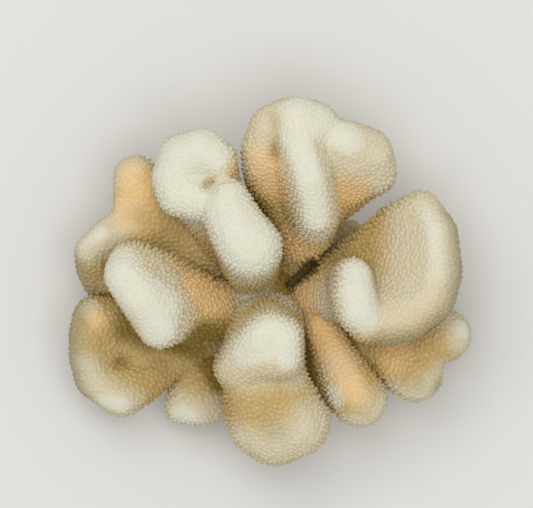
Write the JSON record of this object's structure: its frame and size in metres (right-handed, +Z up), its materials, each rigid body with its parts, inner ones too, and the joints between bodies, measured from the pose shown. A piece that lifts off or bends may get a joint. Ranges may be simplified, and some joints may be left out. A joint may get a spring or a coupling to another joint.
{
  "type": "coral skeleton",
  "caption": "Dry skeleton of a cauliflower coral: thick warty blades and knobs fork outwards and up from one short stem, which is cut off flat to stand on",
  "frame": {"origin": "middle of the flat face that the stem was cut off along", "axes": "+Z up, the way the colony grew; +X to the right and +Y to the back, as seen from above with the tall fan at the back"},
  "size_m": [0.1617, 0.1482, 0.0952],
  "materials": {
    "skeleton": "matt, dry and chalky aragonite, white at the growing edges and tan between"
  },
  "bodies": {
    "root": {"stem": "skeleton", "back_fan": "skeleton", "high_fork": "skeleton", "left_blade": "skeleton", "front_branch": "skeleton", "right_fan": "skeleton", "shelf": "skeleton", "cupped_fan": "skeleton", "finger": "skeleton", "low_fan": "skeleton", "small_knob": "skeleton", "stub": "skeleton"}
  },
  "joints": []
}
